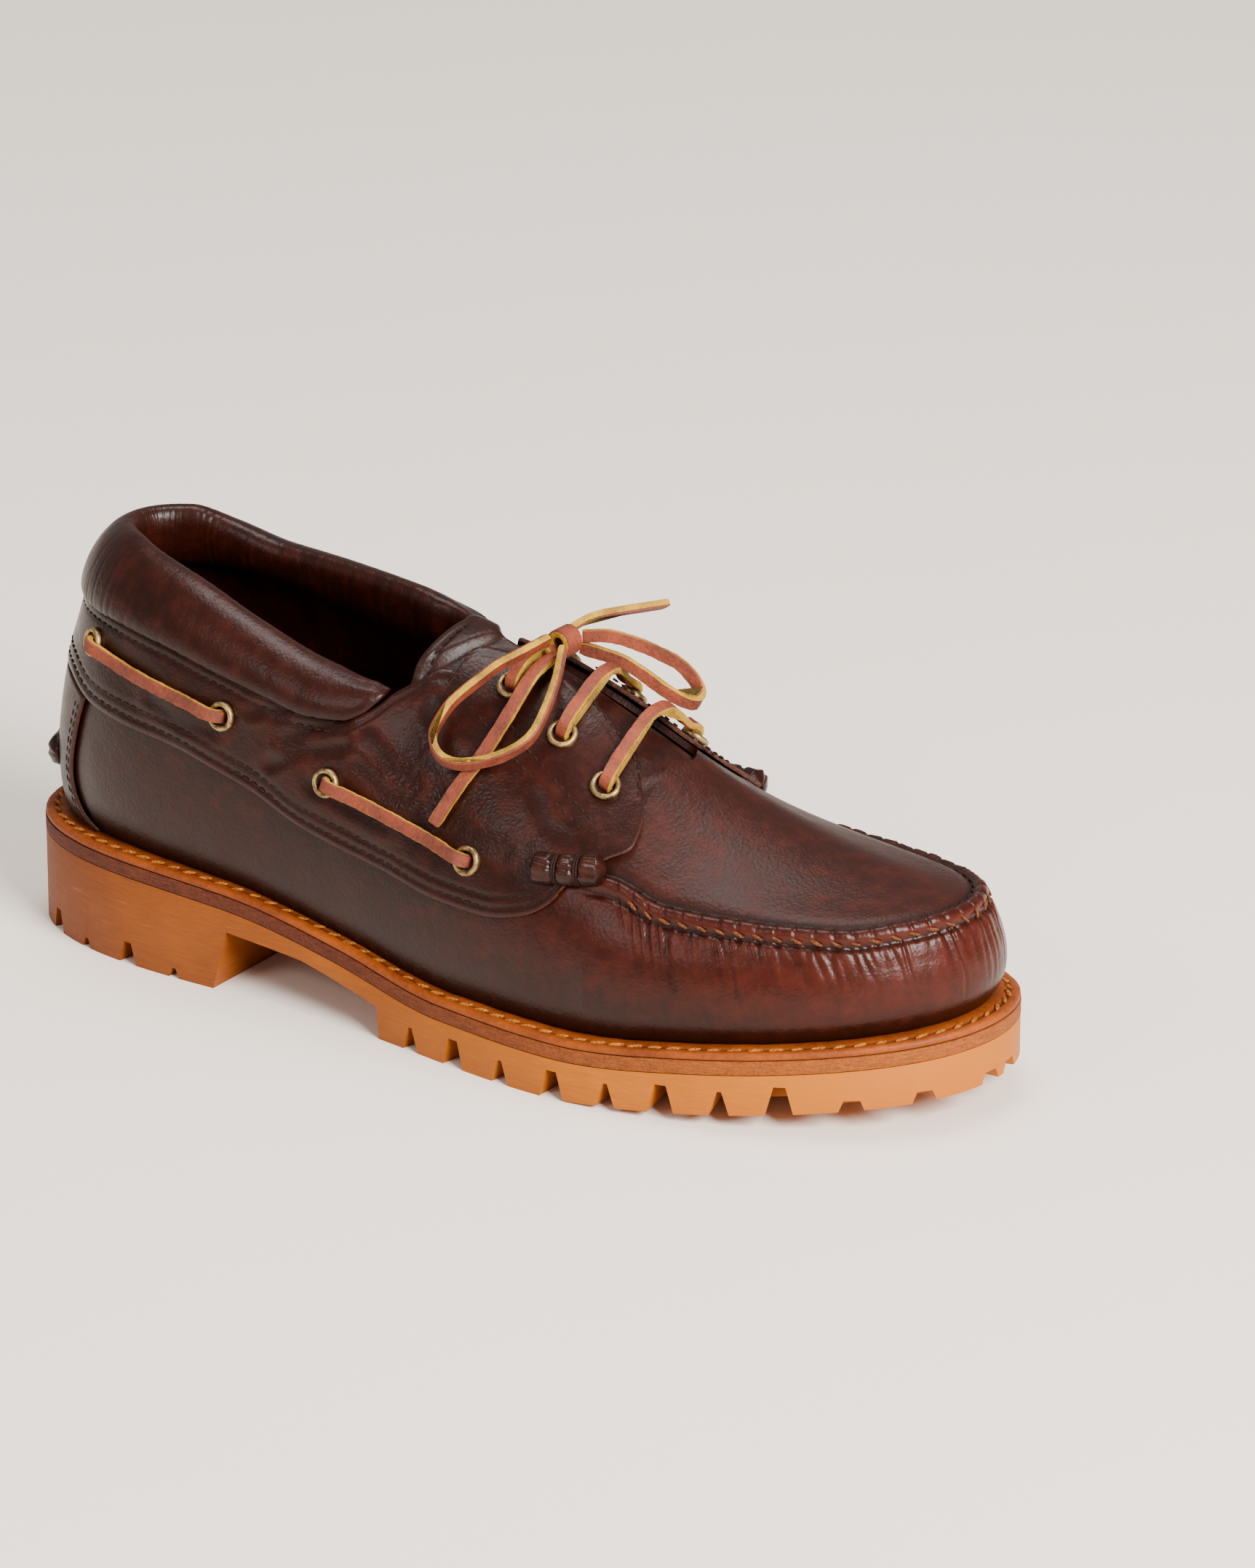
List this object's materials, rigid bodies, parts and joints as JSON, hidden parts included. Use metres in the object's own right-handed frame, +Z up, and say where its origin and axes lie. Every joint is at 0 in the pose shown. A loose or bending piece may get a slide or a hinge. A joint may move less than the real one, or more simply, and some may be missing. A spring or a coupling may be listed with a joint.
{
  "type": "hand-sewn moccasin shoe",
  "caption": "Low leather hand-sewn moccasin with a padded collar, side laces, a tied front lace and a deep lug sole, standing empty.",
  "frame": {"origin": "middle of the shoe's box in plan, on the plane that the heel and the forefoot stand on", "axes": "+X from the heel to the toe, +Y to the inner side of the foot, +Z up"},
  "size_m": [0.3054, 0.1048, 0.1187],
  "materials": {
    "outsole_rubber": "matt honey brown rubber",
    "midsole_leather": "pressed edge, dark red brown",
    "welt_leather": "tan, waxed",
    "upper_leather": "dark brown pull-up leather, semi gloss",
    "tongue_leather": "dark brown leather, semi gloss",
    "insole_leather": "dark lining leather, matt",
    "eyelet_brass": "antique brass",
    "lace_leather": "rawhide lace, rust faces and yellow cut edges"
  },
  "bodies": {
    "root": {"outsole": "outsole_rubber", "midsole": "midsole_leather", "welt": "welt_leather", "insole": "insole_leather", "upper": "upper_leather", "quarter": "upper_leather", "heel_counter": "upper_leather", "collar": "upper_leather", "tongue": "tongue_leather", "beef_roll_lateral": "upper_leather", "beef_roll_medial": "upper_leather", "heel_roll": "upper_leather", "eyelet_lateral_side_1": "eyelet_brass", "eyelet_lateral_side_2": "eyelet_brass", "eyelet_lateral_side_3": "eyelet_brass", "eyelet_lateral_side_4": "eyelet_brass", "eyelet_lateral_throat_1": "eyelet_brass", "eyelet_lateral_throat_2": "eyelet_brass", "eyelet_lateral_throat_3": "eyelet_brass", "eyelet_medial_side_1": "eyelet_brass", "eyelet_medial_side_2": "eyelet_brass", "eyelet_medial_side_3": "eyelet_brass", "eyelet_medial_side_4": "eyelet_brass", "eyelet_medial_throat_1": "eyelet_brass", "eyelet_medial_throat_2": "eyelet_brass", "eyelet_medial_throat_3": "eyelet_brass", "lace_lateral_rear": "lace_leather", "lace_lateral_front": "lace_leather", "lace_medial_rear": "lace_leather", "lace_medial_front": "lace_leather", "lace_bar_top": "lace_leather", "lace_bar_upper": "lace_leather", "lace_bar_lower": "lace_leather", "lace_knot": "lace_leather", "lace_loop_lateral": "lace_leather", "lace_loop_medial": "lace_leather", "lace_end_lateral": "lace_leather", "lace_end_medial": "lace_leather"}
  },
  "joints": []
}
